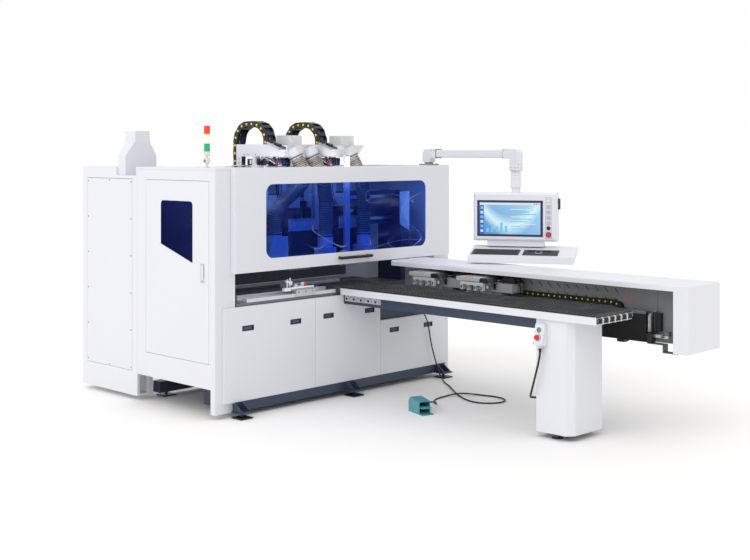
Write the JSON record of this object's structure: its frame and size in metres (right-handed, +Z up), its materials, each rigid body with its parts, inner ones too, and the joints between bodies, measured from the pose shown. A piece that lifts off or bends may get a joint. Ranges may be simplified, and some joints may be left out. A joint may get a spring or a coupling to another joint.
{
  "type": "six sided cnc drilling machine",
  "caption": "Enclosed board drilling machine with portal heads, brush feed table, driven clamps and a console on a swing arm.",
  "frame": {"origin": "middle of the underside of the front left levelling foot", "axes": "+X right along the front, +Y away from the operator through the machine, +Z up"},
  "size_m": [3.0543, 5.102, 2.4495],
  "materials": {
    "white_paint": "smooth powder coat, satin gloss",
    "navy_paint": "smooth powder coat, satin",
    "black_paint": "fine textured powder coat",
    "dark_grey_paint": "satin paint",
    "machined_steel": "machined and ground",
    "aluminium_profile": "anodised extrusion",
    "blue_window": "deep blue tinted polycarbonate, glossy",
    "brush_fibre": "dense short dark bristles",
    "hose_plastic": "ribbed flexible hose",
    "chain_plastic": "moulded links",
    "black_plastic": "moulded, fine grain",
    "screen_glass": "lit flat screen",
    "signal_lenses": "translucent green, amber and red lenses",
    "green_plastic": "moulded",
    "red_plastic": "moulded",
    "teal_paint": "cast housing, semi gloss",
    "foot_rubber": "moulded pad",
    "cable_rubber": "smooth cable sheath"
  },
  "bodies": {
    "frame": {"base_frame": "navy_paint", "foot_front_1": "foot_rubber", "foot_front_2": "foot_rubber", "foot_front_3": "foot_rubber", "side_panel_left": "white_paint", "side_panel_right": "white_paint", "rear_panel": "white_paint", "roof_panel": "white_paint", "service_panel_left": "white_paint", "service_panel_middle": "white_paint", "service_panel_right": "white_paint", "control_cabinet": "white_paint", "control_cabinet_cover": "white_paint", "exhaust_duct": "white_paint", "tower_light_stem": "black_plastic", "tower_light_lenses": "signal_lenses", "work_deck": "aluminium_profile", "portal_beam": "navy_paint", "table_tray": "white_paint", "brush_bed": "brush_fibre", "table_leg": "white_paint", "table_leg_foot": "foot_rubber", "button_box": "white_paint", "button_cable": "cable_rubber", "clamp_beam": "black_paint", "energy_chain_beam": "chain_plastic", "beam_housing": "white_paint", "beam_back_plate": "machined_steel", "arm_base": "black_plastic", "pedal_body": "teal_paint", "pedal_cord": "cable_rubber"},
    "front_cover": {"front_cover": "white_paint", "cover_window": "blue_window", "cover_handle": "black_plastic"},
    "side_door": {"side_door": "white_paint", "side_door_window": "blue_window"},
    "head_left": {"head_carriage_left": "white_paint", "dust_hopper_left": "white_paint", "energy_chain_left": "chain_plastic", "dust_hose_left": "hose_plastic", "dust_hose_left_outer": "hose_plastic"},
    "head_right": {"head_carriage_right": "white_paint", "dust_hopper_right": "white_paint", "energy_chain_right": "chain_plastic", "dust_hose_right": "hose_plastic"},
    "unit_left": {"head_unit_left": "machined_steel"},
    "unit_right": {"head_unit_right": "machined_steel"},
    "side_stop": {"side_stop": "machined_steel"},
    "clamp_near": {"clamp_carriage_near": "dark_grey_paint"},
    "jaw_near": {"clamp_jaw_near": "machined_steel"},
    "clamp_far": {"clamp_carriage_far": "dark_grey_paint"},
    "jaw_far": {"clamp_jaw_far": "machined_steel"},
    "arm": {"console_arm": "white_paint"},
    "console": {"console_housing": "white_paint", "console_screen": "screen_glass", "key_tray": "white_paint"},
    "emergency_stop": {"emergency_stop": "red_plastic"},
    "start_button": {"start_button": "green_plastic"},
    "stop_button": {"stop_button": "red_plastic"},
    "treadle": {"pedal_treadle": "teal_paint"}
  },
  "joints": [
    {"name": "front_cover_lift", "type": "hinge", "parent": "frame", "child": "front_cover", "pos_m": [1.274, 0.0837, 2.0455], "axis": [-1, 0, 0], "range_deg": [0, 38]},
    {"name": "side_door_swing", "type": "hinge", "parent": "frame", "child": "side_door", "pos_m": [-0.209, 1.044, 1.192], "axis": [0, 0, -1], "range_deg": [0, 110]},
    {"name": "head_left_travel", "type": "slide", "parent": "frame", "child": "head_left", "axis": [1, 0, 0], "range_m": [-0.15, 0.01]},
    {"name": "head_right_travel", "type": "slide", "parent": "frame", "child": "head_right", "axis": [1, 0, 0], "range_m": [-0.01, 0.6]},
    {"name": "unit_left_feed", "type": "slide", "parent": "head_left", "child": "unit_left", "axis": [0, 0, 1], "range_m": [-0.14, 0], "deforming": ["energy_chain_left", "dust_hose_left", "dust_hose_left_outer"]},
    {"name": "unit_right_feed", "type": "slide", "parent": "head_right", "child": "unit_right", "axis": [0, 0, 1], "range_m": [-0.14, 0], "deforming": ["energy_chain_right", "dust_hose_right"]},
    {"name": "side_stop_travel", "type": "slide", "parent": "frame", "child": "side_stop", "axis": [1, 0, 0], "range_m": [-0.5, 0.2]},
    {"name": "clamp_near_travel", "type": "slide", "parent": "frame", "child": "clamp_near", "axis": [0, 1, 0], "range_m": [0, 0.37]},
    {"name": "jaw_near_grip", "type": "slide", "parent": "clamp_near", "child": "jaw_near", "axis": [0, 0, 1], "range_m": [-0.022, 0]},
    {"name": "clamp_far_travel", "type": "slide", "parent": "frame", "child": "clamp_far", "axis": [0, 1, 0], "range_m": [-1.2, 0]},
    {"name": "jaw_far_grip", "type": "slide", "parent": "clamp_far", "child": "jaw_far", "axis": [0, 0, 1], "range_m": [-0.022, 0]},
    {"name": "arm_swivel", "type": "hinge", "parent": "frame", "child": "arm", "pos_m": [2.485, 0.184, 2.159], "axis": [0, 0, 1], "range_deg": [-10, 90]},
    {"name": "console_swivel", "type": "hinge", "parent": "arm", "child": "console", "pos_m": [2.485, -0.885, 1.96], "axis": [0, 0, 1], "range_deg": [-30, 60]},
    {"name": "emergency_stop_press", "type": "slide", "parent": "console", "child": "emergency_stop", "axis": [0.866, 0.5, 0], "range_m": [0, 0.006]},
    {"name": "start_button_press", "type": "slide", "parent": "frame", "child": "start_button", "axis": [0.9729, 0, -0.2311], "range_m": [0, 0.004]},
    {"name": "stop_button_press", "type": "slide", "parent": "frame", "child": "stop_button", "axis": [0.9729, 0, -0.2311], "range_m": [0, 0.005]},
    {"name": "treadle_press", "type": "hinge", "parent": "frame", "child": "treadle", "pos_m": [1.20168, -0.82537, 0.04], "axis": [0.9568, -0.2907, 0], "range_deg": [0, 8]}
  ]
}
